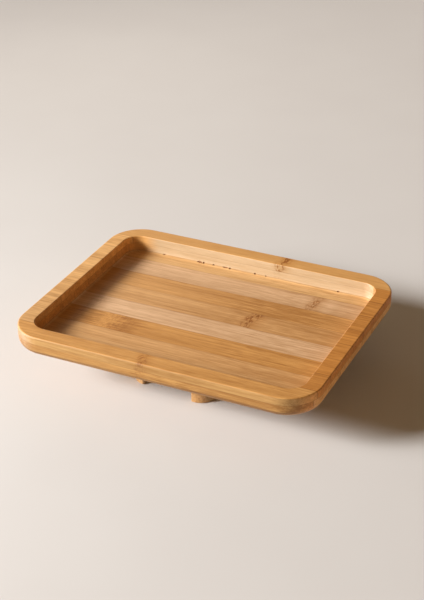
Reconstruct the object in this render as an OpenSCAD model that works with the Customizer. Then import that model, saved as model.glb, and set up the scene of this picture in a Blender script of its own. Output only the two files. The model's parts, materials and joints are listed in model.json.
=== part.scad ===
// Swivelling serving tray: a laminated bamboo board with a milled recess, carried on a
// low two-runner base by a ball bearing turntable. Millimetres, +Z up. The origin is on
// the surface that the tray stands on, under the middle of the board. X runs along the
// board's long side and Y towards its back.

/* [Tray board] */
// Length of the board along its long side
board_w = 330; // [300:1:380]
// Depth of the board from front to back
board_d = 258; // [240:1:270]
// Thickness of the board
board_t = 23; // [22:0.5:26]
// Radius of the board's corners, seen from above
corner_r = 37; // [34:1:42]
// Radius of the rounding that runs round the underside
under_r = 10; // [7:0.5:10.5]
// Radius of the eased outer edge of the rim
rim_edge_r = 1.6; // [0.8:0.1:2.5]

/* [Recess] */
// Width of the rim at the two short sides
side_rim_w = 17; // [15:0.5:20]
// Width of the rim at the front and back
long_rim_w = 19; // [17:0.5:21]
// Depth of the recess below the rim
recess_depth = 17.9; // [16:0.1:18.5]
// Radius of the recess's corners, seen from above
recess_corner_r = 18; // [14:0.5:19]
// Radius of the cove where the wall meets the floor
cove_r = 4; // [2:0.5:6]
// Radius of the eased inner edge of the rim
lip_r = 1; // [0.5:0.1:1.5]

/* [Bamboo strips] */
// Width of one bamboo strip
strip_w = 29.7; // [29:0.1:30]
// Y of one glue line in the bottom ply
bottom_glue_y = 2; // [0:0.5:4]
// Y of one glue line in the middle ply
middle_glue_y = 11; // [9:0.5:12]
// Y of one glue line in the top ply
top_glue_y = 15.2; // [13:0.1:16]
// Thickness of the bottom ply
bottom_ply_t = 6.3; // [6:0.1:7]

/* [Base] */
// Height of the board's underside above the table
under_h = 42.4; // [38:0.1:48]
// Turn of the base about the swivel axis with the board square to the frame, in degrees
rest_turn = -7.6; // [-15:0.1:15]
// Width of the base across its two runners
base_w = 97; // [96:0.5:104]
// Length of the base along its runners
base_d = 153.6; // [140:0.2:170]
// Thickness of the base plate
base_plate_t = 8; // [7:0.5:10]
// Width of one runner
runner_w = 19.5; // [19:0.5:22]
// Radius of the base's outer corners, seen from above
base_corner_r = 19; // [14:0.5:19]
// Radius of the eased upright edges at the runners' inner sides
runner_edge_r = 2; // [1:0.5:3]

/* [Bearing] */
// Side of the square bearing plates
plate_w = 80; // [80:1:88]
// Thickness of the bearing plates
plate_t = 1; // [0.8:0.1:1.2]
// Height of the whole bearing
bearing_h = 7.9; // [7.5:0.1:8.5]
// Radius of the circle through the balls' centres
ball_circle_r = 25; // [24:0.5:26]
// Diameter of one ball
ball_d = 4; // [3.5:0.1:4.2]
// Number of balls
ball_count = 24; // [12:1:26]
// Gap between the balls and the faces round them
ball_gap = 0.3; // [0.2:0.05:0.35]

/* [Fasteners and pads] */
// Distance between screws along one side of a bearing plate
screw_spacing = 50; // [49:0.5:51]
// Diameter of a screw's shank
shank_d = 3; // [2.5:0.1:3]
// Diameter of a screw's head
head_d = 5.5; // [5:0.1:6]
// Diameter of an anti-slip pad
pad_d = 12; // [10:1:14]
// Thickness of an anti-slip pad
pad_t = 1.6; // [1.2:0.1:2]
// Height that a pad stands proud of its runner
pad_proud = 0.6; // [0.4:0.1:0.8]

/* [Hidden] */
$fn = 96;
eps = 1;

// Board and recess
floor_t = board_t - recess_depth;
recess_hw = board_w / 2 - side_rim_w;
recess_hd = board_d / 2 - long_rim_w;

// Plies, from the underside up
middle_ply_top = (bottom_ply_t + board_t) / 2;
bottom_glue_lines = [for (k = [-4 : 4]) bottom_glue_y + k * strip_w];
middle_glue_lines = [for (k = [-4 : 3]) middle_glue_y + k * strip_w];
top_glue_lines = [for (k = [-4 : 3]) top_glue_y + k * strip_w];
bottom_edges = concat([-board_d / 2 - eps], bottom_glue_lines, [board_d / 2 + eps]);
bottom_count = len(bottom_edges) - 1;
block_count = len(top_glue_lines) - 1;

// Base, from the table up
runner_z = pad_proud;
base_plate_z = under_h - bearing_h - base_plate_t;
runner_h = base_plate_z - runner_z;
lower_plate_z = under_h - bearing_h;
upper_plate_z = under_h - plate_t;
runner_x = base_w / 2 - runner_w / 2;
base_joint_x = strip_w / 2;
pad_y = base_d / 2 - base_corner_r + 2;
runner_screw_y = base_d / 2 - 22;
runner_screw_l = 22;

// Bearing
ball_z = under_h - bearing_h / 2;
groove_r = ball_d / 2 + ball_gap;
race_hw = groove_r + 1.4;
race_gap = 2;
race_h = bearing_h / 2 - plate_t - race_gap / 2;
cage_t = 1.2;
cage_hw = groove_r + 0.7;
plate_corner_r = 6;
tube_r = 16;
tube_wall = 0.9;
tube_gap = 0.5;
lip_overlap = 2;
lip_t = 0.8;
lip_gap = 0.4;
well_r = tube_r + tube_gap + lip_overlap + 1;
well_depth = lip_gap + lip_t + 1;

// Screws
thread_gap = 0.05;
head_h = 1.7;
hole_d = shank_d + 0.6;
upper_screw_l = 4;
lower_screw_l = 6.5;
slot_w = 0.9;
slot_l = 3.2;
slot_depth = 1;
access_d = 6.4;
access_turn = 80;
access_circle_r = screw_spacing / 2 * sqrt(2);

// ---- Shared shapes ----

// Copies a child to the four corners of a rectangle of half sizes hx and hy
module at_corners(hx, hy) {
    for (sx = [-1, 1], sy = [-1, 1]) translate([sx * hx, sy * hy, 0]) children();
}

// Sweeps an upright outline, drawn from the middle out to reach, round a rectangle with
// round corners: hx and hy are its half sizes. The outline is the child, which reads
// $reach for the distance from its inner end to its outer edge.
module swept_rectangle(hx, hy, r) {
    for (k = [0 : 3]) rotate([0, 0, 90 * k])
        translate([(k % 2 == 0 ? hx : hy) - r, (k % 2 == 0 ? hy : hx) - r, 0])
        rotate_extrude(angle = 90) let ($reach = r) children();
    rotate([90, 0, 0]) linear_extrude(height = 2 * (hy - r), center = true) both_sides()
        let ($reach = hx) children();
    for (s = [0, 180]) rotate([0, 0, s]) translate([0, hy - r, 0]) rotate([90, 0, 90])
        linear_extrude(height = 2 * (hx - r), center = true) let ($reach = r) children();
}

module both_sides() {
    children();
    mirror([1, 0]) children();
}

// Outline of the solid board out to its edge: square above, widely rounded below
module board_outline() {
    square([$reach - under_r, board_t]);
    translate([0, under_r]) square([$reach, board_t - under_r - rim_edge_r]);
    translate([0, under_r]) square([$reach - rim_edge_r, board_t - under_r]);
    translate([$reach - under_r, under_r]) circle(under_r);
    translate([$reach - rim_edge_r, board_t - rim_edge_r]) circle(rim_edge_r);
}

// Outline of the recess out to its wall, with the cove at the floor and the eased lip
module recess_outline() {
    translate([0, floor_t]) square([$reach - cove_r, board_t - floor_t + eps]);
    translate([0, floor_t + cove_r]) square([$reach, board_t - floor_t - cove_r + eps]);
    translate([$reach - cove_r, floor_t + cove_r]) circle(cove_r);
    difference() {
        translate([$reach, board_t - lip_r]) square([lip_r, lip_r + eps]);
        translate([$reach + lip_r, board_t - lip_r]) circle(lip_r);
    }
}

// The whole glued and milled board, standing at its place over the base
module milled_board() {
    translate([0, 0, under_h]) difference() {
        swept_rectangle(board_w / 2, board_d / 2, corner_r) board_outline();
        swept_rectangle(recess_hw, recess_hd, recess_corner_r) recess_outline();
    }
}

// The part of the board inside one box: x, y and z are [low, high] pairs
module board_part(x, y, z) {
    intersection() {
        milled_board();
        translate([x[0], y[0], under_h + z[0]])
            cube([x[1] - x[0], y[1] - y[0], z[1] - z[0]]);
    }
}

whole_x = [-board_w / 2 - eps, board_w / 2 + eps];
left_x = [-board_w / 2 - eps, 0];
right_x = [0, board_w / 2 + eps];
bottom_z = [-eps, bottom_ply_t];
middle_z = [bottom_ply_t, middle_ply_top];
top_z = [middle_ply_top, board_t + eps];

function front_y(lines) = [-board_d / 2 - eps, lines[0]];
function back_y(lines) = [lines[len(lines) - 1], board_d / 2 + eps];
function block_y(lines, i) = [lines[i - 1], lines[i]];

// A rectangle with round corners in plan, built from squares and circles
module round_rectangle(w, d, r) {
    square([w, d - 2 * r], center = true);
    square([w - 2 * r, d], center = true);
    at_corners(w / 2 - r, d / 2 - r) circle(r);
}

// Turns a child with the base about the swivel axis
module turned() {
    rotate([0, 0, rest_turn]) children();
}

// A cross-head recess, cut downwards from the origin
module cross_recess() {
    for (a = [0, 90]) rotate([0, 0, a]) translate([-slot_l / 2, -slot_w / 2, -slot_depth])
        cube([slot_l, slot_w, slot_depth + eps]);
}

// A pan-head wood screw of length l, with its head above the origin and its tip below
module pan_screw(l) {
    difference() {
        union() {
            cylinder(d = head_d, h = head_h - 0.5);
            translate([0, 0, head_h - 0.5]) cylinder(d1 = head_d, d2 = head_d - 1, h = 0.5);
            translate([0, 0, -l + 1]) cylinder(d = shank_d, h = l - 1 + 0.1);
            translate([0, 0, -l]) cylinder(d1 = 0.6, d2 = shank_d, h = 1);
        }
        translate([0, 0, head_h]) cross_recess();
    }
}

// A countersunk wood screw of length l, with the top of its head at the origin
module flat_screw(l) {
    difference() {
        union() {
            translate([0, 0, -head_h]) cylinder(d1 = shank_d, d2 = head_d + 1.5, h = head_h);
            translate([0, 0, -l + 2]) cylinder(d = shank_d, h = l - 2 - head_h + 0.1);
            translate([0, 0, -l]) cylinder(d1 = 0.6, d2 = shank_d, h = 2);
        }
        cross_recess();
    }
}

// ---- Tray board ----

module bottom_strip(i) {
    color(i % 2 == 0 ? "#d9b285" : "#cf9f69") difference() {
        board_part(whole_x, [bottom_edges[i - 1], bottom_edges[i]], bottom_z);
        at_corners(screw_spacing / 2, screw_spacing / 2)
            translate([0, 0, under_h - eps])
            cylinder(d = shank_d + 2 * thread_gap, h = upper_screw_l + 0.3 + eps);
    }
}

module middle_front_rail() {
    color("#d6a566") board_part(whole_x, front_y(middle_glue_lines), middle_z);
}

module middle_back_rail() {
    color("#dfb27a") board_part(whole_x, back_y(middle_glue_lines), middle_z);
}

module middle_left_block(i) {
    color("#cf9c5c") board_part(left_x, block_y(middle_glue_lines, i), middle_z);
}

module middle_right_block(i) {
    color("#cf9c5c") board_part(right_x, block_y(middle_glue_lines, i), middle_z);
}

module top_front_rail() {
    color("#d9a867") board_part(whole_x, front_y(top_glue_lines), top_z);
}

module top_back_rail() {
    color("#dcae72") board_part(whole_x, back_y(top_glue_lines), top_z);
}

module top_left_block(i) {
    color("#e2b67a") board_part(left_x, block_y(top_glue_lines, i), top_z);
}

module top_right_block(i) {
    color("#c98f4a") board_part(right_x, block_y(top_glue_lines, i), top_z);
}

// ---- Base ----

// The base plate between two X values, with the shallow well for the lip of the bearing's
// centre tube and the hole through which the upper screws are driven
module base_strip(x0, x1) {
    turned() translate([0, 0, base_plate_z]) difference() {
        linear_extrude(height = base_plate_t) intersection() {
            round_rectangle(base_w, base_d, base_corner_r);
            translate([x0, -base_d / 2 - eps]) square([x1 - x0, base_d + 2 * eps]);
        }
        translate([0, 0, base_plate_t - well_depth]) cylinder(r = well_r, h = well_depth + eps);
        rotate([0, 0, access_turn]) translate([access_circle_r, 0, -eps])
            cylinder(d = access_d, h = base_plate_t + 2 * eps);
        at_corners(screw_spacing / 2, screw_spacing / 2)
            translate([0, 0, base_plate_t - lower_screw_l - 0.3])
            cylinder(d = shank_d + 2 * thread_gap, h = lower_screw_l + 0.3 + eps);
        at_corners(runner_x, runner_screw_y) screw_sink();
    }
}

// Clearance hole and countersink in the base plate for a runner screw
module screw_sink() {
    translate([0, 0, -eps]) cylinder(d = shank_d + 0.2, h = base_plate_t + 2 * eps);
    translate([0, 0, base_plate_t - head_h - 0.2])
        cylinder(d1 = shank_d + 0.2, d2 = head_d + 1.7, h = head_h + 0.1);
    translate([0, 0, base_plate_t - 0.11]) cylinder(d = head_d + 1.7, h = eps);
}

module base_strip_left() {
    color("#cb9a5c") base_strip(-base_w / 2 - eps, -base_joint_x);
}

module base_strip_middle() {
    color("#d8ac72") base_strip(-base_joint_x, base_joint_x);
}

module base_strip_right() {
    color("#cb9a5c") base_strip(base_joint_x, base_w / 2 + eps);
}

// One runner on the side that s names, -1 or 1: quarter-round outer corners, eased inner
// corners, pilot holes for its screws and pockets for its pads
module runner(s) {
    inner_x = base_w / 2 - runner_w;
    turned() translate([0, 0, runner_z]) difference() {
        linear_extrude(height = runner_h) difference() {
            intersection() {
                round_rectangle(base_w, base_d, base_corner_r);
                translate([s > 0 ? inner_x : -base_w / 2 - eps, -base_d / 2 - eps])
                    square([runner_w + eps, base_d + 2 * eps]);
            }
            for (sy = [-1, 1]) translate([s * inner_x, sy * base_d / 2])
                scale([s, -sy]) eased_corner(runner_edge_r);
        }
        for (sy = [-1, 1]) translate([s * runner_x, sy * runner_screw_y, 0])
            translate([0, 0, runner_h + base_plate_t - runner_screw_l - 0.5])
            cylinder(d = shank_d + 2 * thread_gap, h = runner_screw_l);
        for (sy = [-1, 1]) translate([s * runner_x, sy * pad_y, -eps])
            cylinder(d = pad_d + 0.2, h = pad_t - pad_proud + eps);
    }
}

// What is cut away to ease a square corner at the origin that fills +X +Y
module eased_corner(r) {
    difference() {
        translate([-eps, -eps]) square(r + eps);
        translate([r, r]) circle(r);
    }
}

module left_runner() {
    color("#d3a265") runner(-1);
}

module right_runner() {
    color("#d3a265") runner(1);
}

module foot_pads() {
    color("#3a3735") turned() at_corners(runner_x, pad_y) {
        translate([0, 0, 0.3]) cylinder(d = pad_d, h = pad_t - 0.3);
        cylinder(d1 = pad_d - 0.8, d2 = pad_d, h = 0.3);
    }
}

module runner_screws() {
    color("#b9b5ae") turned() at_corners(runner_x, runner_screw_y)
        translate([0, 0, base_plate_z + base_plate_t - 0.1]) flat_screw(runner_screw_l);
}

// ---- Bearing ----

// A square bearing plate lying on the origin with its ball race standing up from it
module bearing_plate(centre_r) {
    difference() {
        union() {
            linear_extrude(height = plate_t) round_rectangle(plate_w, plate_w, plate_corner_r);
            rotate_extrude() translate([ball_circle_r - race_hw, 0])
                square([2 * race_hw, plate_t + race_h]);
        }
        rotate_extrude() translate([ball_circle_r, bearing_h / 2]) circle(groove_r);
        translate([0, 0, -eps]) cylinder(r = centre_r, h = plate_t + 2 * eps);
        at_corners(screw_spacing / 2, screw_spacing / 2)
            translate([0, 0, -eps]) cylinder(d = hole_d, h = plate_t + 2 * eps);
    }
}

module bearing_lower_plate() {
    color("#a9adb1") turned() translate([0, 0, lower_plate_z]) difference() {
        bearing_plate(tube_r + tube_gap);
        rotate([0, 0, access_turn]) translate([access_circle_r, 0, -eps])
            cylinder(d = access_d, h = plate_t + 2 * eps);
    }
}

// The upper plate's centre tube passes through the lower plate, and its lip holds on below
module bearing_upper_plate() {
    tube_l = bearing_h - plate_t + lip_gap + lip_t;
    color("#b4b8bc") translate([0, 0, under_h]) mirror([0, 0, 1]) {
        bearing_plate(tube_r - tube_wall);
        rotate_extrude() union() {
            translate([tube_r - tube_wall, 0]) square([tube_wall, plate_t + tube_l]);
            translate([tube_r - tube_wall, plate_t + tube_l - lip_t])
                square([tube_wall + tube_gap + lip_overlap, lip_t]);
        }
    }
}

module ball_cage() {
    color("#e4e1d6") translate([0, 0, ball_z]) difference() {
        rotate_extrude() translate([ball_circle_r - cage_hw, -cage_t / 2])
            square([2 * cage_hw, cage_t]);
        for (i = [0 : ball_count - 1]) rotate([0, 0, i * 360 / ball_count])
            translate([ball_circle_r, 0, -cage_t])
            cylinder(d = ball_d + 0.2, h = 2 * cage_t);
    }
}

module bearing_balls() {
    color("#d8dadc") for (i = [0 : ball_count - 1]) rotate([0, 0, i * 360 / ball_count])
        translate([ball_circle_r, 0, ball_z]) sphere(d = ball_d);
}

module lower_plate_screws() {
    color("#b9b5ae") turned() at_corners(screw_spacing / 2, screw_spacing / 2)
        translate([0, 0, lower_plate_z + plate_t]) pan_screw(lower_screw_l + plate_t);
}

module upper_plate_screws() {
    color("#b9b5ae") at_corners(screw_spacing / 2, screw_spacing / 2)
        translate([0, 0, upper_plate_z]) mirror([0, 0, 1]) pan_screw(upper_screw_l + plate_t);
}

// ---- Nodes ----

for (i = [1 : bottom_count])
    bottom_strip(i);
middle_front_rail();
middle_back_rail();
for (i = [1 : block_count])
    middle_left_block(i);
for (i = [1 : block_count])
    middle_right_block(i);
top_front_rail();
top_back_rail();
for (i = [1 : block_count])
    top_left_block(i);
for (i = [1 : block_count])
    top_right_block(i);
base_strip_left();
base_strip_middle();
base_strip_right();
left_runner();
right_runner();
foot_pads();
runner_screws();
bearing_lower_plate();
lower_plate_screws();
bearing_upper_plate();
upper_plate_screws();
ball_cage();
bearing_balls();
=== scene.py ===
"""Looks of the swivelling bamboo serving tray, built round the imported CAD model.

X runs along the board to the right, Y to the back and Z up. The materials work in
millimetres, because every pattern is worked out from the place in the row frame times 1000,
and so do the board's heights, its knots, patches and chips. Objects, lights and the camera
are in metres, as the frame is.
"""

import json
import math
import random

import bmesh
import bpy
from mathutils import Matrix, Vector, geometry, noise


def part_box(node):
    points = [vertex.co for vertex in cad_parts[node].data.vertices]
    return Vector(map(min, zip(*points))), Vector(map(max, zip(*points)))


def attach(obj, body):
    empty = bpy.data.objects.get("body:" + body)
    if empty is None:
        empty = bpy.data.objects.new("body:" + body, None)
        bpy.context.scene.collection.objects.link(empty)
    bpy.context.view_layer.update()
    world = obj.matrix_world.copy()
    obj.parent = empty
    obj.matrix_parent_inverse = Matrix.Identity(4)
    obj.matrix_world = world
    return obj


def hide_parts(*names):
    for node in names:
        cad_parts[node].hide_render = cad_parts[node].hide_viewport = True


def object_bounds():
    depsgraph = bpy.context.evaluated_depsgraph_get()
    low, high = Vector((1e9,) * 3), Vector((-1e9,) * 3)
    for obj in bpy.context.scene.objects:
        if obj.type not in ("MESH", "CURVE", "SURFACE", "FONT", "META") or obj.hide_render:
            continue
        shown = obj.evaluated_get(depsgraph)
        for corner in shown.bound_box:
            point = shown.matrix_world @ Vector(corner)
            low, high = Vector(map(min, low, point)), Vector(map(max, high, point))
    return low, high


MM = 0.001

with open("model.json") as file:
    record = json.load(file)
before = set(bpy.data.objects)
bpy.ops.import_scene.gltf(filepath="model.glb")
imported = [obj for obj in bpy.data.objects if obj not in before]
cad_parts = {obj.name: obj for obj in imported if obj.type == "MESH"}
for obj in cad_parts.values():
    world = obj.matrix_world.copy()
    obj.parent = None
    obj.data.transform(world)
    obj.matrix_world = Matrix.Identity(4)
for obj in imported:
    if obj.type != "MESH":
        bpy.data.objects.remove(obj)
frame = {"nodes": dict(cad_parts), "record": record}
cad_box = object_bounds()
NODES = frame["nodes"]
MOUNTS = {mount["name"]: mount for mount in frame["record"]["mounts"]}

# Heights in the board: its top, the glue lines between its three plies and the recess floor
RIM_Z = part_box("top_front_rail")[1].z / MM
UPPER_GLUE_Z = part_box("top_front_rail")[0].z / MM
LOWER_GLUE_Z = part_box("middle_front_rail")[0].z / MM
RECESS_Z = MOUNTS["recess_floor"]["pos_m"][2] / MM

# The recess's upright back wall and the rounding at its foot
BACK_WALL_Y = 110.0
COVE_R = 4.0

# The base's bamboo runs along the runners, which stand this many degrees off square under
# the board
OFF_SQUARE = 7.6
BASE_TURN = math.radians(90 - OFF_SQUARE)


# ---- Small helpers ----

def linear(red, green, blue):
    """A colour given from 0 to 255 as it looks on a screen, as linear RGBA."""
    def channel(value):
        value /= 255
        return value / 12.92 if value <= 0.04045 else ((value + 0.055) / 1.055) ** 2.4
    return (channel(red), channel(green), channel(blue), 1.0)


def scaled(colour, red, green, blue):
    """A linear colour with its channels multiplied."""
    return (colour[0] * red, colour[1] * green, colour[2] * blue, 1.0)


def between(a, b, share):
    """A colour part of the way from one to another."""
    return tuple(p + (q - p) * share for p, q in zip(a, b))


def numbered(stem):
    """The CAD nodes stem1, stem2 and so on, in order."""
    found = [n for n in NODES if n.startswith(stem) and n[len(stem):].isdigit()]
    return sorted(found, key=lambda n: int(n[len(stem):]))


def glued_sides(node):
    """The Y of a board strip's glued sides, without the board's own outside."""
    low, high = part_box(node)
    return [y / MM for y in (low.y, high.y) if abs(y) < cad_box[1].y - MM]


def islands(node):
    """(centre, lowest corner, highest corner) of each separate solid in a CAD node, in metres."""
    mesh = bmesh.new()
    mesh.from_mesh(NODES[node].data)
    bmesh.ops.remove_doubles(mesh, verts=mesh.verts, dist=1e-6)
    left = set(mesh.verts)
    found = []
    while left:
        start = next(v for v in mesh.verts if v in left)
        group = {start}
        queue = [start]
        while queue:
            for edge in queue.pop().link_edges:
                for v in edge.verts:
                    if v not in group:
                        group.add(v)
                        queue.append(v)
        left -= group
        low = Vector([min(v.co[k] for v in group) for k in range(3)])
        high = Vector([max(v.co[k] for v in group) for k in range(3)])
        found.append(((low + high) / 2, low, high))
    mesh.free()
    return found


class Graph:
    """The node tree of one material or world, with short ways to add the nodes used here."""

    def __init__(self, owner):
        owner.use_nodes = True
        self.owner = owner
        self.tree = owner.node_tree
        self.shader = self.tree.nodes.get("Principled BSDF")

    def add(self, kind, inputs=None, **settings):
        node = self.tree.nodes.new(kind)
        for name, value in settings.items():
            setattr(node, name, value)
        for key, value in (inputs or {}).items():
            if isinstance(value, bpy.types.NodeSocket):
                self.tree.links.new(value, node.inputs[key])
            else:
                node.inputs[key].default_value = value
        return node

    def math(self, operation, a, b=0.0, c=0.0, clamp=False):
        node = self.add("ShaderNodeMath", {0: a, 1: b, 2: c}, operation=operation, use_clamp=clamp)
        return node.outputs[0]

    def vary(self, value, pattern, amount):
        """value, with a pattern from 0 to 1 added so that its middle changes nothing."""
        return self.math("MULTIPLY_ADD", self.math("SUBTRACT", pattern, 0.5), amount, value)

    def stretch(self, place, sizes, shift):
        """A vector divided by sizes and moved, so that a pattern is that long on each axis."""
        scale = tuple(1 / s for s in sizes)
        node = self.add("ShaderNodeVectorMath", {0: place, 1: scale, 2: shift},
                        operation="MULTIPLY_ADD")
        return node.outputs[0]

    def noise(self, place, sizes, shift=(0, 0, 0), detail=2.0, roughness=0.5):
        at = self.stretch(place, sizes, shift)
        node = self.add("ShaderNodeTexNoise", {"Vector": at, "Scale": 1.0, "Detail": detail,
                                               "Roughness": roughness})
        return node.outputs["Fac"]

    def cells(self, place, sizes, shift=(0, 0, 0)):
        at = self.stretch(place, sizes, shift)
        return self.add("ShaderNodeTexVoronoi", {"Vector": at, "Scale": 1.0}).outputs["Distance"]

    def smooth(self, value, low, high, start=0.0, end=1.0):
        """start below low and end above high, with an even curve between."""
        node = self.add("ShaderNodeMapRange", {"Value": value, "From Min": low, "From Max": high,
                                               "To Min": start, "To Max": end},
                        interpolation_type="SMOOTHSTEP")
        return node.outputs["Result"]

    def blend(self, share, a, b, mode="MIX"):
        node = self.add("ShaderNodeMix", {0: share, 6: a, 7: b}, data_type="RGBA", blend_type=mode)
        return node.outputs[2]

    def times(self, colour, factor):
        """A colour socket with its channels multiplied by factors that may pass 1."""
        node = self.add("ShaderNodeVectorMath", {0: colour, 1: factor}, operation="MULTIPLY")
        return node.outputs[0]

    def axes(self, vector):
        return self.add("ShaderNodeSeparateXYZ", {0: vector}).outputs

    def place(self, turn=0.0):
        """The place in the row frame in millimetres, turned so that the fibres run along X."""
        at = self.add("ShaderNodeTexCoord").outputs["Object"]
        node = self.add("ShaderNodeMapping", {"Vector": at, "Rotation": (0, 0, -turn),
                                              "Scale": (1 / MM, 1 / MM, 1 / MM)})
        return node.outputs[0]

    def facing(self, turn=0.0):
        """The way the surface faces along the fibres, across them and upwards."""
        way = self.add("ShaderNodeTexCoord").outputs["Normal"]
        node = self.add("ShaderNodeVectorRotate", {"Vector": way, "Angle": -turn},
                        rotation_type="Z_AXIS")
        return self.axes(node.outputs[0])

    def bump(self, height, depth):
        """Relief from a pattern, depth millimetres deep for each 1 of it."""
        node = self.add("ShaderNodeBump", {"Height": height, "Distance": depth * MM,
                                           "Strength": 1.0})
        self.tree.links.new(node.outputs[0], self.shader.inputs["Normal"])

    def set(self, **values):
        """Links or sets the shader's sockets, with _ for each space in their names."""
        for name, value in values.items():
            socket = self.shader.inputs[name.replace("_", " ")]
            if isinstance(value, bpy.types.NodeSocket):
                self.tree.links.new(value, socket)
            else:
                socket.default_value = value


def new_material(name):
    return Graph(bpy.data.materials.new(name))


def paint(node, material):
    """Gives a CAD node one material."""
    materials = NODES[node].data.materials
    materials.clear()
    materials.append(material)


# ---- Bamboo ----

# Colours of the cane, from the palest to the richest
PALE = linear(203, 164, 123)
STRAW = linear(208, 166, 112)
WHEAT = linear(217, 166, 100)
SAND = linear(193, 146, 92)
HONEY = linear(191, 138, 74)
AMBER = linear(187, 125, 56)

# What the wood's colour is multiplied by in a knot's dashes, in the cloud round them, on
# glue lines, in the open vascular bundles, in the cove and where the rim is rubbed
KNOT = (0.52, 0.34, 0.15, 1.0)
KNOT_CLOUD = (0.80, 0.66, 0.46, 1.0)
GLUE = (0.50, 0.40, 0.30, 1.0)
FIBRE_DARK = (0.62, 0.50, 0.38, 1.0)
COVE_DARK = (0.80, 0.72, 0.62, 1.0)
POLISH = (1.04, 1.04, 1.05, 1.0)

# The same for the darkest and lightest of a piece's own streaks
DARK_STREAK = (0.72, 0.63, 0.49)
LIGHT_STREAK = (1.17, 1.21, 1.28)

# The same on long upright faces and on ends that face -X (near) or X (far), which are painted
# light and shade for how the light falls on each face. Upright faces are darkened, a painted
# shade, the bottom ply's much more, on the lower band of the board's sides under its edge. The
# back wall's upright faces are made paler and whiter, a painted sheen. Ends towards -X are
# lightened where the key lights them, and ends towards X are lightened and warmed, painted
# bounce light on the shaded side.
UPRIGHT_SHADE = (0.73, 0.82, 0.95)
LOW_UPRIGHT_SHADE = (0.52, 0.53, 0.53)
UPRIGHT_SHEEN = (0.83, 1.14, 2.15)
LIT_END = (0.95, 1.09, 1.85)
FAINT_LIT_END = (1.00, 1.02, 1.10)
BOUNCE_LIT_END = (1.27, 1.15, 0.95)

# How strongly each pattern lightens and darkens the cane
STREAK_LIGHT = 1.5
GRAIN_LIGHT = 1.1
BROAD_LIGHT = 0.9
FIBRE_LIGHT = 0.9
MOTTLE_LIGHT = 0.35
BUNDLE_DARK = 0.34

# The oil finish, the wood's roughness and what the fibres add to it, and the relief's depth
WOOD_IOR = 1.48
WOOD_SPECULAR = 0.38
OIL_COAT = 0.05
OIL_ROUGHNESS = 0.25
WOOD_ROUGHNESS = 0.42
FIBRE_ROUGHNESS = 0.16
WOOD_RELIEF = 0.055

# The dark lines: half width where pieces meet side by side, half width and darkness where
# plies meet, and the half width of the fully dark middle
SEAM_REACH = 0.9
PLY_REACH = 0.4
PLY_DARK = 0.5
LINE_CORE = 0.10

# Length along the fibres, width and height of each pattern in the cane
SWAY_SIZE = (150, 34, 34)
FIBRE_SIZE = (38, 0.6, 0.6)
BUNDLE_SIZE = (17, 0.85, 0.85)
GRAIN_SIZE = (24, 1.5, 1.5)
STREAK_SIZE = (110, 2.8, 2.8)
BROAD_SIZE = (210, 13, 11)
MOTTLE_SIZE = (16, 5, 5)
BOW_SIZE = (90, 17, 17)
GAP_SIZE = (10, 7, 7)
DASH_SIZE = (1.9, 5.5, 2.8)

# How far the fibres sway across the piece and upwards
SWAY_ACROSS = 5.0
SWAY_UP = 3.0

# The rubbed rim: how far below the top it starts and is full, and how strong it is. The
# dull cove: how far above the recess floor it is full and ends, and how strong it is.
RUB_FROM = 2.5
RUB_FULL = 1.0
RUB = 0.4
COVE_FULL = 3.2
COVE_END = 5.7
COVE_DULL = 0.12


def add_knots(g, wood, here, at, x, shift, mottle, knots):
    """The wood with its knots, and where they are.

    A knot is a broken band of short curved dashes across the strip, in a faint brown cloud.
    """
    bow = g.noise(here, BOW_SIZE, shift, 1.0)
    gaps = g.smooth(g.noise(here, GAP_SIZE, shift, 1.0), 0.34, 0.54, 0.25, 1.0)
    dashes = g.smooth(g.noise(at, DASH_SIZE, shift, 3.0, 0.6), 0.42, 0.57)
    dashes = g.math("MULTIPLY", dashes, gaps)
    mask = 0.0
    for centre, reach, strength in knots:
        off = g.vary(g.math("SUBTRACT", x, centre), bow, reach * 1.5)
        cloud = g.smooth(g.math("ABSOLUTE", g.math("SUBTRACT", off, reach * 0.3)),
                         0.0, reach * 1.9, 0.8 * strength, 0.0)
        cloud = g.math("MULTIPLY", cloud, g.smooth(mottle, 0.35, 0.65, 0.35, 1.0))
        wood = g.blend(cloud, wood, KNOT_CLOUD, "MULTIPLY")
        band = g.smooth(g.math("ABSOLUTE", off), reach * 0.25, reach, strength, 0.0)
        band = g.math("MULTIPLY", band, dashes)
        wood = g.blend(band, wood, KNOT, "MULTIPLY")
        mask = g.math("MAXIMUM", mask, band)
    return wood, mask


def glue_mask(g, y, z, glue_y, glue_z, seam):
    """How dark the glue lines make each place."""
    mask = 0.0
    for value, lines, strength, reach in ((y, glue_y, seam, SEAM_REACH),
                                          (z, glue_z, PLY_DARK, PLY_REACH)):
        for line in lines:
            off = g.math("ABSOLUTE", g.math("SUBTRACT", value, line))
            mask = g.math("MAXIMUM", mask, g.smooth(off, LINE_CORE, reach, strength, 0.0))
    return mask


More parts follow.
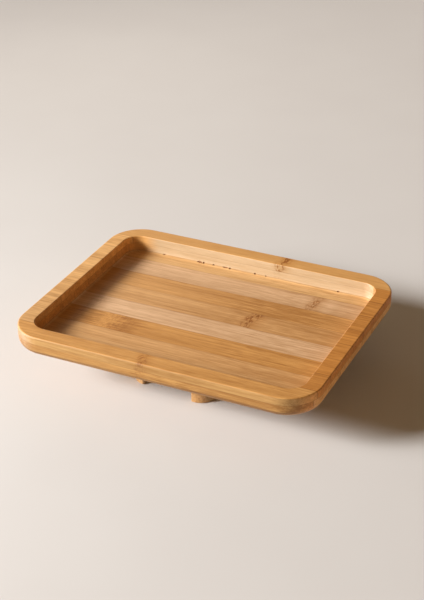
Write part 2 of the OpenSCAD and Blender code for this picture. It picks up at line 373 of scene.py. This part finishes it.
def bamboo(name, tone, seed, turn=0.0, knots=(), patches=(), glue_y=(), glue_z=(),
           edge=UPRIGHT_SHADE, edge_from=None, near=LIT_END, figure=1.0, seam=0.35):
    """Oiled bamboo with its fibres along X, turned by turn.

    seed picks the stretch of the patterns that the piece shows. knots are (X, reach,
    strength) of the bands where the cane had its joints. patches are (X, half length,
    lightness) of pale or dark stretches. glue_y and glue_z are where the piece meets its
    neighbours, and seam is how dark the lines at glue_y are. edge and near are painted light
    and shade: factors for its long upright faces and for its ends towards -X that stand in for
    how the light falls on them. edge_from is the X where the edge factor starts, if it isn't
    all along. figure is how strong its streaks are.
    """
    g = new_material(name)
    here = g.place(turn)
    x, y, z = g.axes(here)
    shift = (seed * 3.71, seed * 1.93, seed * 2.57)

    # Fibres that sway a little from side to side
    sway = g.math("SUBTRACT", g.noise(here, SWAY_SIZE, shift, 1.0), 0.5)
    drift = g.add("ShaderNodeCombineXYZ", {1: g.math("MULTIPLY", sway, SWAY_ACROSS),
                                           2: g.math("MULTIPLY", sway, SWAY_UP)}).outputs[0]
    at = g.add("ShaderNodeVectorMath", {0: here, 1: drift}, operation="ADD").outputs[0]

    # The cane's structure: fine fibres, vascular bundles and broader streaks along them
    fibres = g.noise(at, FIBRE_SIZE, shift, 3.0, 0.6)
    bundles = g.smooth(g.cells(at, BUNDLE_SIZE, shift), 0.14, 0.44, 1.0, 0.0)
    grain = g.noise(at, GRAIN_SIZE, shift, 3.0, 0.65)
    streaks = g.noise(at, STREAK_SIZE, shift, 3.0, 0.6)
    broad = g.noise(at, BROAD_SIZE, shift, 1.0)
    mottle = g.noise(at, MOTTLE_SIZE, shift, 2.0)
    light = 0.5
    for pattern, strength in ((streaks, STREAK_LIGHT), (grain, GRAIN_LIGHT), (broad, BROAD_LIGHT),
                              (fibres, FIBRE_LIGHT), (mottle, MOTTLE_LIGHT)):
        light = g.vary(light, pattern, strength * figure)
    for centre, half, lift in patches:
        off = g.math("ABSOLUTE", g.math("SUBTRACT", x, centre))
        off = g.vary(off, grain, half * 3.0)
        off = g.vary(off, mottle, half * 1.5)
        light = g.math("MULTIPLY_ADD", g.smooth(off, half * 0.3, half, 1.0, 0.0), lift, light)
    light = g.math("ADD", light, 0.0, clamp=True)
    wood = g.blend(light, scaled(tone, *DARK_STREAK), scaled(tone, *LIGHT_STREAK))
    wood = g.blend(g.math("MULTIPLY", bundles, BUNDLE_DARK * figure), wood, FIBRE_DARK, "MULTIPLY")
    wood, knot = add_knots(g, wood, here, at, x, shift, mottle, knots)
    joint = glue_mask(g, y, z, glue_y, glue_z, seam)
    wood = g.blend(joint, wood, GLUE, "MULTIPLY")

    # Painted light and shade on faces that show the cane's edge or its end grain: factors for
    # how the light falls on upright faces and on ends
    along, across, upward = g.facing(turn)
    side = g.smooth(g.math("ABSOLUTE", across), 0.45, 0.95)
    # Where edge_from is given, the painted factor on upright faces starts only there, so that it
    # stays off the shaded corner
    if edge_from is not None:
        side = g.math("MULTIPLY", side, g.smooth(x, edge_from, edge_from + 25))
    wood = g.blend(side, wood, g.times(wood, edge))
    # Painted light on the ends: those towards -X lighter where the key falls, those towards X
    # lighter and warmer, painted bounce light
    wood = g.blend(g.smooth(along, -0.5, 0.0, 1.0, 0.0), wood, g.times(wood, near))
    wood = g.blend(g.smooth(along, 0.45, 0.95), wood, g.times(wood, BOUNCE_LIT_END))

    # The rubbed roundings of the rim, and the cove at the recess floor, which is made darker and
    # duller. slope is full on faces that lean and 0 on upright and level ones.
    slope = g.math("MULTIPLY", g.math("MULTIPLY", upward, g.math("SUBTRACT", 1.0, upward)), 4.0)
    slope = g.smooth(slope, 0.25, 0.9)
    worn = g.smooth(z, RIM_Z - RUB_FROM, RIM_Z - RUB_FULL, 0.0, RUB)
    worn = g.math("MULTIPLY", slope, worn)
    dull = g.smooth(z, RECESS_Z + COVE_FULL, RECESS_Z + COVE_END, COVE_DULL, 0.0)
    dull = g.math("MULTIPLY", slope, dull)
    wood = g.blend(worn, wood, POLISH, "MULTIPLY")
    wood = g.blend(dull, wood, COVE_DARK, "MULTIPLY")

    # A rubbed oil finish: soft gloss that the open fibres break up
    roughness = g.math("MULTIPLY_ADD", fibres, FIBRE_ROUGHNESS, WOOD_ROUGHNESS)
    relief = fibres
    for pattern, rougher in ((bundles, 0.08), (worn, -0.12), (dull, 1.5)):
        roughness = g.math("MULTIPLY_ADD", pattern, rougher, roughness)
    for pattern, higher in ((bundles, -0.7), (knot, -0.6), (joint, -1.2)):
        relief = g.math("MULTIPLY_ADD", pattern, higher, relief)
    g.set(Base_Color=wood, Roughness=roughness, IOR=WOOD_IOR, Specular_IOR_Level=WOOD_SPECULAR,
          Coat_Weight=OIL_COAT, Coat_Roughness=OIL_ROUGHNESS)
    g.bump(relief, WOOD_RELIEF)
    return g.owner


# ---- The board ----

# The first seed of each kind of piece; the pieces of a kind count up from it
STRIP_SEED = 1
RAIL_SEED = 20
BLOCK_SEED = 40
BASE_SEED = 90

# The glue lines that the pieces of each ply touch
PLY_LINES = {"bottom": (LOWER_GLUE_Z,), "middle": (LOWER_GLUE_Z, UPPER_GLUE_Z),
             "top": (UPPER_GLUE_Z,)}

# The bottom ply's strips are lighter towards the left and darker towards the right: partly the
# strips' own tone, partly painted light that falls off away from the key on the left
FLOOR_TONE_AND_FALLOFF = ((-100, 100, 0.2), (140, 100, -0.12))


def strip(tone, knots=(), patches=()):
    """The looks of one strip of the bottom ply."""
    return {"tone": tone, "knots": knots, "patches": patches + FLOOR_TONE_AND_FALLOFF,
            "edge": LOW_UPRIGHT_SHADE, "near": FAINT_LIT_END}


# The bottom ply's strips, front to back
FLOOR_STRIPS = [
    strip(HONEY),
    strip(HONEY, knots=((-70, 8, 0.3),)),
    strip(SAND),
    strip(HONEY, knots=((-84, 26, 0.4),),
          patches=((-118, 15, -0.5), (-95, 8, 0.3), (-70, 17, -0.4))),
    strip(PALE, knots=((-124, 8, 0.3),)),
    strip(SAND, knots=((40, 9, 1.0),), patches=((22, 8, -0.15),)),
    strip(between(HONEY, SAND, 0.4), patches=((60, 60, -0.3),)),
    strip(PALE, knots=((87, 8, 0.85),), patches=((104, 9, 0.2),)),
    strip(STRAW),
    strip(STRAW, knots=((-30, 7, 0.4),)),
]


def paint_board_piece(node, tone, seed, **looks):
    """Bamboo for one piece of the board, with its own glue lines."""
    ply = node.split("_")[0]
    paint(node, bamboo(node, tone, seed, glue_y=glued_sides(node), glue_z=PLY_LINES[ply], **looks))


def paint_strips():
    """The bottom ply, which shows as the recess floor and along the lower edge."""
    for number, node in enumerate(numbered("bottom_strip_")):
        paint_board_piece(node, seed=STRIP_SEED + number, **FLOOR_STRIPS[number])


def paint_rails():
    """The long front and back pieces of the two upper plies.

    The back ones are calm, and their upright faces get a painted sheen, paler and whiter, except
    near the left end, where shade falls.
    """
    back = {"figure": 0.5, "edge": UPRIGHT_SHEEN, "edge_from": -135, "near": FAINT_LIT_END}
    back_tone = between(HONEY, WHEAT, 0.6)
    rails = {
        "middle_front_rail": (between(HONEY, AMBER, 0.4),
                              {"knots": ((-12, 7, 0.4),), "patches": ((95, 95, -0.4),)}),
        "middle_back_rail": (back_tone, {"knots": ((32, 6, 0.25),), **back}),
        "top_front_rail": (scaled(HONEY, 1.05, 1.08, 1.14), {"knots": ((-12, 8, 0.65),)}),
        "top_back_rail": (back_tone, {"knots": ((34, 8, 1.0),), **back}),
    }
    for number, (node, (tone, looks)) in enumerate(rails.items()):
        paint_board_piece(node, tone, RAIL_SEED + number, **looks)


def paint_blocks():
    """The short pieces left and right of the recess.

    Each side goes from one tone at the front to another at the back, with some chance in it,
    except the top right, which varies by chance only. The top left blocks are paler and the top
    right ones darker, painted light on the lit left rim and painted shade on the right one; the
    middle right ones, which show on the shaded right side, are paler, painted bounce light.
    """
    random.seed(7)
    sides = {
        "middle_left_block_": (HONEY, SAND),
        "middle_right_block_": (SAND, STRAW),
        "top_left_block_": (scaled(SAND, 1.04, 1.08, 1.1), scaled(WHEAT, 1.04, 1.06, 1.12)),
        "top_right_block_": (AMBER, HONEY),
    }
    for group, (stem, (front, back)) in enumerate(sides.items()):
        right = "right" in stem
        nodes = numbered(stem)
        for number, node in enumerate(nodes):
            share = 0.7 * number / (len(nodes) - 1) + 0.3 * random.random()
            if stem == "top_right_block_":
                share = 0.3 * random.random()
            paint_board_piece(node, between(front, back, share), BLOCK_SEED + 10 * group + number,
                              figure=1.1, near=LIT_END if right else FAINT_LIT_END,
                              seam=0.8 if right else 0.4)


def paint_base():
    """The base plate's three strips and the two runners, with their fibres along the runners."""
    pieces = {
        "base_strip_left": (HONEY, ((38, 5, 0.5),)),
        "base_strip_middle": (SAND, ((-24, 6, 0.6),)),
        "base_strip_right": (HONEY, ()),
        "left_runner": (STRAW, ((-48, 4, 0.4),)),
        "right_runner": (between(STRAW, HONEY, 0.5), ()),
    }
    for number, (node, (tone, knots)) in enumerate(pieces.items()):
        paint(node, bamboo(node, tone, BASE_SEED + number, turn=BASE_TURN, knots=knots,
                           near=FAINT_LIT_END))


# ---- Metal, plastic and rubber ----

def zinc_steel():
    """Pressed sheet steel with a clear zinc coat: faint spangle, rolling marks and light stains."""
    g = new_material("zinc_steel")
    here = g.place()
    spangle = g.cells(here, (3.2, 3.2, 3.2))
    cloud = g.noise(here, (22, 16, 16), detail=4.0)
    rolled = g.noise(here, (60, 0.25, 0.25), detail=2.0)
    tone = g.blend(spangle, linear(178, 180, 182), linear(202, 203, 204))
    tone = g.blend(g.smooth(cloud, 0.55, 0.8, 0.0, 0.5), tone, linear(150, 146, 138))
    g.set(Base_Color=tone, Roughness=g.math("MULTIPLY_ADD", cloud, 0.3, 0.2), Metallic=1.0)
    g.bump(g.math("MULTIPLY_ADD", spangle, 0.2, rolled), 0.02)
    return g.owner


def screw_steel():
    """Zinc plated screw steel, finely grained from turning."""
    g = new_material("screw_steel")
    here = g.place()
    grain = g.noise(here, (0.35, 0.35, 0.12), detail=2.0)
    cloud = g.noise(here, (3.0, 3.0, 3.0), detail=3.0)
    tone = g.blend(cloud, linear(170, 168, 160), linear(206, 204, 198))
    g.set(Base_Color=tone, Roughness=g.math("MULTIPLY_ADD", cloud, 0.22, 0.18), Metallic=1.0)
    g.bump(grain, 0.02)
    return g.owner


def ball_steel():
    """Ground and polished bearing steel, with a trace of grease."""
    g = new_material("ball_steel")
    film = g.noise(g.place(), (1.4, 1.4, 1.4), detail=3.0)
    tone = g.blend(g.smooth(film, 0.5, 0.75), linear(214, 216, 220), linear(176, 168, 150))
    g.set(Base_Color=tone, Roughness=g.math("MULTIPLY_ADD", film, 0.16, 0.03), Metallic=1.0)
    return g.owner


def cage_plastic():
    """Moulded natural nylon: milky, a little translucent, with a fine moulded skin."""
    g = new_material("cage_plastic")
    here = g.place()
    skin = g.noise(here, (0.5, 0.5, 0.5), detail=2.0)
    flow = g.noise(here, (14, 5, 5), detail=2.0)
    tone = g.blend(flow, linear(224, 220, 204), linear(238, 235, 224))
    g.set(Base_Color=tone, Roughness=g.math("MULTIPLY_ADD", skin, 0.12, 0.38),
          Subsurface_Weight=0.15, Subsurface_Radius=(0.002, 0.0017, 0.0013))
    g.bump(skin, 0.012)
    return g.owner


def pad_rubber():
    """Dull dark rubber with dust caught on it."""
    g = new_material("pad_rubber")
    here = g.place()
    grain = g.noise(here, (0.3, 0.3, 0.3), detail=3.0)
    dust = g.smooth(g.noise(here, (2.4, 2.4, 2.4), detail=4.0), 0.52, 0.72, 0.0, 0.45)
    tone = g.blend(dust, linear(52, 50, 48), linear(120, 112, 102))
    g.set(Base_Color=tone, Roughness=g.math("MULTIPLY_ADD", grain, 0.2, 0.62))
    g.bump(grain, 0.02)
    return g.owner


# ---- Pieces made in mesh code ----

def add_object(name, data):
    """A new object in the scene."""
    made = bpy.data.objects.new(name, data)
    bpy.context.scene.collection.objects.link(made)
    return made


def mesh_data(name, mesh):
    """The mesh data of a bmesh, which is freed."""
    data = bpy.data.meshes.new(name)
    mesh.to_mesh(data)
    mesh.free()
    return data


def shade_smooth(data):
    for face in data.polygons:
        face.use_smooth = True


def new_piece(name, mesh, material, body):
    """A piece from a bmesh, painted, riding on a body."""
    data = mesh_data(name, mesh)
    data.materials.append(material)
    shade_smooth(data)
    piece = add_object(name, data)
    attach(piece, body)
    return piece


def revolve(mesh, centre, outline, steps=48):
    """Adds a closed solid of revolution about the upright line through centre.

    outline is (radius, height) points from the axis at one end to the axis at the other.
    """
    rings = []
    for radius, height in outline:
        if radius == 0:
            rings.append([mesh.verts.new((centre.x, centre.y, height))])
            continue
        angles = [2 * math.pi * k / steps for k in range(steps)]
        rings.append([mesh.verts.new((centre.x + radius * math.cos(a),
                                      centre.y + radius * math.sin(a), height))
                      for a in angles])
    for low, high in zip(rings, rings[1:]):
        for k in range(steps):
            corners = [low[k % len(low)], low[(k + 1) % len(low)],
                       high[(k + 1) % len(high)], high[k % len(high)]]
            mesh.faces.new(list(dict.fromkeys(corners)))
    bmesh.ops.recalc_face_normals(mesh, faces=mesh.faces)


def arc(centre_r, centre_h, radius, start, end, steps=6):
    """Points of an arc in (radius, height), with its angles in degrees."""
    turns = [math.radians(start + (end - start) * k / steps) for k in range(steps + 1)]
    return [(centre_r + radius * math.cos(t), centre_h + radius * math.sin(t)) for t in turns]


def make_pads(material):
    """Round anti-slip pads with a rounded rim and a shallow suction cup below."""
    rim = 0.5 * MM
    bevel = 0.1 * MM
    cup = 3.6 * MM
    cup_depth = 0.5 * MM
    mesh = bmesh.new()
    for centre, low, high in islands("foot_pads"):
        radius = (high.x - low.x) / 2
        outline = [(0, low.z + cup_depth)]
        outline += [(cup * k / 5, low.z + cup_depth * (1 - (k / 5) ** 2)) for k in range(1, 6)]
        outline += arc(radius - rim, low.z + rim, rim, -90, 0)
        outline += [(radius, high.z - bevel), (radius - bevel, high.z), (0, high.z)]
        revolve(mesh, centre, outline)
    piece = new_piece("anti_slip_pads", mesh, material, "base")
    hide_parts("foot_pads")


def make_balls(material):
    """The bearing's balls as fine round meshes."""
    mesh = bmesh.new()
    for centre, low, high in islands("bearing_balls"):
        radius = (high.z - low.z) / 2
        place = Matrix.Translation(centre)
        bmesh.ops.create_icosphere(mesh, subdivisions=3, radius=radius, matrix=place)
    piece = new_piece("steel_balls", mesh, material, "ball_set")
    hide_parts("bearing_balls")


# ---- Chips at the foot of the back wall ----

# X, half length and half height of each chip along the lower glue line
CHIPS = [(-106, 1.5, 0.8), (-62, 2.8, 1.1), (-57, 1.1, 1.3), (-45, 1.3, 0.8), (-31, 3.2, 0.6),
         (-25, 1.3, 1.1), (5, 1.3, 0.9), (18, 0.9, 0.6), (102, 1.6, 0.8)]

# How deep they go, how ragged they are, how fine the lumps are and how far apart the chips
# are in the pattern that makes them ragged
CHIP_DEPTH = 0.9
CHIP_RAGGEDNESS = 0.45
CHIP_LUMPS = 1.7
CHIP_SHIFT = 5.3

# Corners closer than these are joined before and after the chips are cut, and faces that
# meet at more than this angle keep a sharp edge
WELD_BEFORE = 0.001 * MM
WELD_AFTER = 0.005 * MM
SHARP_ANGLE = math.radians(25)


def torn_fibre():
    """The dark raw fibre inside a chip."""
    g = new_material("torn_fibre")
    fibres = g.noise(g.place(), (4.0, 0.25, 0.25), detail=3.0)
    g.set(Base_Color=g.blend(fibres, linear(92, 54, 26), linear(168, 116, 68)), Roughness=0.85)
    g.bump(fibres, 0.1)
    return g.owner


def chip_cutter():
    """Ragged pits where fibres tore out of the glue line, which meets the surface in the cove."""
    rise = LOWER_GLUE_Z - RECESS_Z
    face_y = BACK_WALL_Y - COVE_R + math.sqrt(COVE_R ** 2 - (COVE_R - rise) ** 2)
    mesh = bmesh.new()
    for number, (x, half_l, half_h) in enumerate(CHIPS):
        made = bmesh.ops.create_icosphere(mesh, subdivisions=3, radius=1.0)
        for v in made["verts"]:
            lump = noise.noise(v.co * CHIP_LUMPS + Vector((number * CHIP_SHIFT, 0, 0)))
            rough = 1 + CHIP_RAGGEDNESS * lump
            v.co = Vector((x + v.co.x * half_l * rough,
                           face_y + v.co.y * CHIP_DEPTH * rough,
                           LOWER_GLUE_Z + v.co.z * half_h * rough)) * MM
    data = mesh_data("chip_cutter", mesh)
    data.materials.append(torn_fibre())
    return add_object("chip_cutter", data)


def welded(source, name, reach):
    """A copy of a mesh in plain triangles, with the corners that are within reach joined."""
    mesh = bmesh.new()
    mesh.from_mesh(source)
    bmesh.ops.remove_doubles(mesh, verts=mesh.verts, dist=reach)
    bmesh.ops.dissolve_degenerate(mesh, edges=mesh.edges, dist=reach / 2)
    bmesh.ops.triangulate(mesh, faces=mesh.faces)
    data = mesh_data(name, mesh)
    for material in source.materials:
        data.materials.append(material)
    return data


def carve_chips():
    """Copies of the two nodes at the glue line, with the chips cut out, replace the nodes."""
    cutter = chip_cutter()
    for node, slot in (("bottom_strip_9", "bamboo_golden"), ("middle_back_rail", "bamboo_pale")):
        name = node + "_chipped"
        piece = add_object(name, welded(NODES[node].data, name, WELD_BEFORE))
        cut = piece.modifiers.new("chips", "BOOLEAN")
        cut.operation = "DIFFERENCE"
        cut.solver = "EXACT"
        cut.object = cutter
        cut.material_mode = "TRANSFER"
        bpy.context.view_layer.update()
        evaluated = piece.evaluated_get(bpy.context.evaluated_depsgraph_get())
        carved = bpy.data.meshes.new_from_object(evaluated)
        piece.modifiers.clear()
        piece.data = welded(carved, name, WELD_AFTER)
        shade_smooth(piece.data)
        piece.data.set_sharp_from_angle(angle=SHARP_ANGLE)
        shading = piece.modifiers.new("flat_faces_stay_flat", "WEIGHTED_NORMAL")
        shading.keep_sharp = True
        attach(piece, "tray")
        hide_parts(node)
    bpy.data.objects.remove(cutter)


# ---- Floor ----

# How far the floor goes each way, how much smaller its openings are than the runners on
# each side, and how near the lowest point a corner of a runner's underside is
FLOOR_REACH = 30.0
OPENING_INSET = 1.5 * MM
UNDERSIDE = 0.01 * MM


def footprint(runner):
    """The outline of a runner's underside, a little smaller than it really is."""
    to_base = Matrix.Rotation(-BASE_TURN, 2)
    back = Matrix.Rotation(BASE_TURN, 2)
    mesh = NODES[runner].data
    low = min(v.co.z for v in mesh.vertices)
    points = [to_base @ v.co.xy for v in mesh.vertices if v.co.z < low + UNDERSIDE]
    points = [points[k] for k in geometry.convex_hull_2d(points)]
    spans = [[pick(p[k] for p in points) for pick in (min, max)] for k in (0, 1)]
    centre = Vector([sum(span) / 2 for span in spans])
    shrink = [1 - 2 * OPENING_INSET / (high - low) for low, high in spans]
    smaller = [centre + Vector([(p[k] - centre[k]) * shrink[k] for k in (0, 1)]) for p in points]
    return [(back @ p).to_3d() for p in smaller]


def floor_plaster():
    """Fine matt plaster, clear from below."""
    g = new_material("floor")
    tooth = g.noise(g.place(), (3.0, 3.0, 3.0), detail=3.0)
    cloud = g.noise(g.place(), (160, 160, 160), detail=2.0)
    g.set(Base_Color=g.blend(cloud, linear(206, 203, 199), linear(211, 209, 205)), Roughness=0.9)
    g.bump(tooth, 0.03)
    under = g.add("ShaderNodeNewGeometry").outputs["Backfacing"]
    clear = g.add("ShaderNodeBsdfTransparent").outputs[0]
    both = g.add("ShaderNodeMixShader", {0: under, 1: g.shader.outputs[0], 2: clear})
    g.tree.links.new(both.outputs[0], g.tree.nodes["Material Output"].inputs["Surface"])
    return g.owner


def make_floor():
    """A wide pale floor, seen only from above.

    It is open right under the two runners, so that some light reaches the pads and the
    undersides can be looked at from below.
    """
    corners = ((-1, -1), (1, -1), (1, 1), (-1, 1))
    outlines = [[Vector((x * FLOOR_REACH, y * FLOOR_REACH, 0)) for x, y in corners]]
    outlines += [footprint(node) for node in ("left_runner", "right_runner")]
    mesh = bmesh.new()
    verts = [mesh.verts.new(p) for outline in outlines for p in outline]
    for triangle in geometry.tessellate_polygon(outlines):
        mesh.faces.new([verts[k] for k in triangle])
    bmesh.ops.recalc_face_normals(mesh, faces=mesh.faces)
    if mesh.faces[:][0].normal.z < 0:
        bmesh.ops.reverse_faces(mesh, faces=mesh.faces)
    data = mesh_data("floor", mesh)
    data.materials.append(floor_plaster())
    floor = add_object("floor", data)


# ---- Light ----

# The middle of the tray, and the way from there to the two parts of the key
AIM = Vector((0, 0, 0.045))
TO_KEY = Vector((-1.82, -1.35, 1.0)).normalized()
KEY_COLOUR = (0.975, 0.965, 0.97)
FAR_KEY_STRENGTH = 5.1
FAR_KEY_SPREAD = math.radians(15)
NEAR_KEY_DISTANCE = 1.2
NEAR_KEY_SIZE = 0.36
NEAR_KEY_WATTS = 11.1

# A weak panel behind the back left corner that puts a sheen on the rim
SHEEN_PLACE = (-0.62, 0.80, 0.50)
SHEEN_AIM = (-0.05, 0.0, 0.045)
SHEEN_SIZE = 0.45
SHEEN_WATTS = 0.6
SHEEN_COLOUR = (1.0, 0.93, 0.84)

# The surround, from the horizon up to the height where it is as dim as overhead
HORIZON = (0.66, 0.53, 0.38, 1.0)
OVERHEAD = (0.165, 0.10, 0.05, 1.0)
HORIZON_TOP = 0.02
OVERHEAD_FROM = 0.5


def area_light(name, place, aim, size, watts, colour):
    """A soft round panel at place that faces aim."""
    data = bpy.data.lights.new(name, "AREA")
    data.shape = "DISK"
    data.size = size
    data.energy = watts
    data.color = colour
    lamp = add_object(name, data)
    lamp.location = place
    lamp.rotation_euler = (Vector(place) - Vector(aim)).to_track_quat("Z", "Y").to_euler()


def make_surround():
    """A dim warm surround that is brighter near the horizon."""
    world = bpy.data.worlds.new("studio")
    g = Graph(world)
    height = g.axes(g.add("ShaderNodeTexCoord").outputs["Generated"])[2]
    colour = g.blend(g.smooth(height, HORIZON_TOP, OVERHEAD_FROM), HORIZON, OVERHEAD)
    g.tree.links.new(colour, g.tree.nodes["Background"].inputs["Color"])
    bpy.context.scene.world = world


def make_light():
    """A soft key from the front left, about 24 degrees up, in a surround that fills.

    The key is a far part and a near part in the same direction, so that the light falls off
    a little across the tray but the floor stays even into the distance.
    """
    far = bpy.data.lights.new("far_key", "SUN")
    far.energy = FAR_KEY_STRENGTH
    far.angle = FAR_KEY_SPREAD
    far.color = KEY_COLOUR
    add_object("far_key", far).rotation_euler = TO_KEY.to_track_quat("Z", "Y").to_euler()
    area_light("near_key", AIM + TO_KEY * NEAR_KEY_DISTANCE, AIM, NEAR_KEY_SIZE, NEAR_KEY_WATTS,
               KEY_COLOUR)
    area_light("sheen", SHEEN_PLACE, SHEEN_AIM, SHEEN_SIZE, SHEEN_WATTS, SHEEN_COLOUR)
    make_surround()


# ---- Camera ----

# The place it looks from and at, and its lens and sensor in millimetres
CAMERA_AZIMUTH = math.radians(25.99)
CAMERA_ELEVATION = math.radians(29.73)
CAMERA_ROLL = math.radians(-0.94)
CAMERA_AIM = Vector((-19.7, 51.3, 40.0)) * MM
CAMERA_DISTANCE = 1554.6 * MM
CAMERA_LENS = 87.2
CAMERA_SENSOR = 36.0


def make_camera():
    """Seen from the front right, 30 degrees above, with a long lens and a slight roll."""
    back = Vector((math.sin(CAMERA_AZIMUTH) * math.cos(CAMERA_ELEVATION),
                   -math.cos(CAMERA_AZIMUTH) * math.cos(CAMERA_ELEVATION),
                   math.sin(CAMERA_ELEVATION)))
    level = Vector((math.cos(CAMERA_AZIMUTH), math.sin(CAMERA_AZIMUTH), 0))
    upright = back.cross(level)
    right = math.cos(CAMERA_ROLL) * level + math.sin(CAMERA_ROLL) * upright
    up = back.cross(right)
    data = bpy.data.cameras.new("camera")
    data.lens = CAMERA_LENS
    data.sensor_width = CAMERA_SENSOR
    data.clip_start = 0.05
    data.clip_end = 50.0
    camera = add_object("camera", data)
    camera.matrix_world = Matrix((
        (right.x, up.x, back.x, 0), (right.y, up.y, back.y, 0),
        (right.z, up.z, back.z, 0), (0, 0, 0, 1)))
    camera.location = CAMERA_AIM + back * CAMERA_DISTANCE
    bpy.context.scene.camera = camera


# ---- The scene ----

make_camera()
make_floor()
make_light()
paint_strips()
paint_rails()
paint_blocks()
paint_base()
steel = zinc_steel()
for plate in ("bearing_lower_plate", "bearing_upper_plate"):
    paint(plate, steel)
screws = screw_steel()
for group in ("runner_screws", "lower_plate_screws", "upper_plate_screws"):
    paint(group, screws)
paint("ball_cage", cage_plastic())
make_pads(pad_rubber())
make_balls(ball_steel())
carve_chips()
bpy.context.scene.view_settings.view_transform = "Standard"
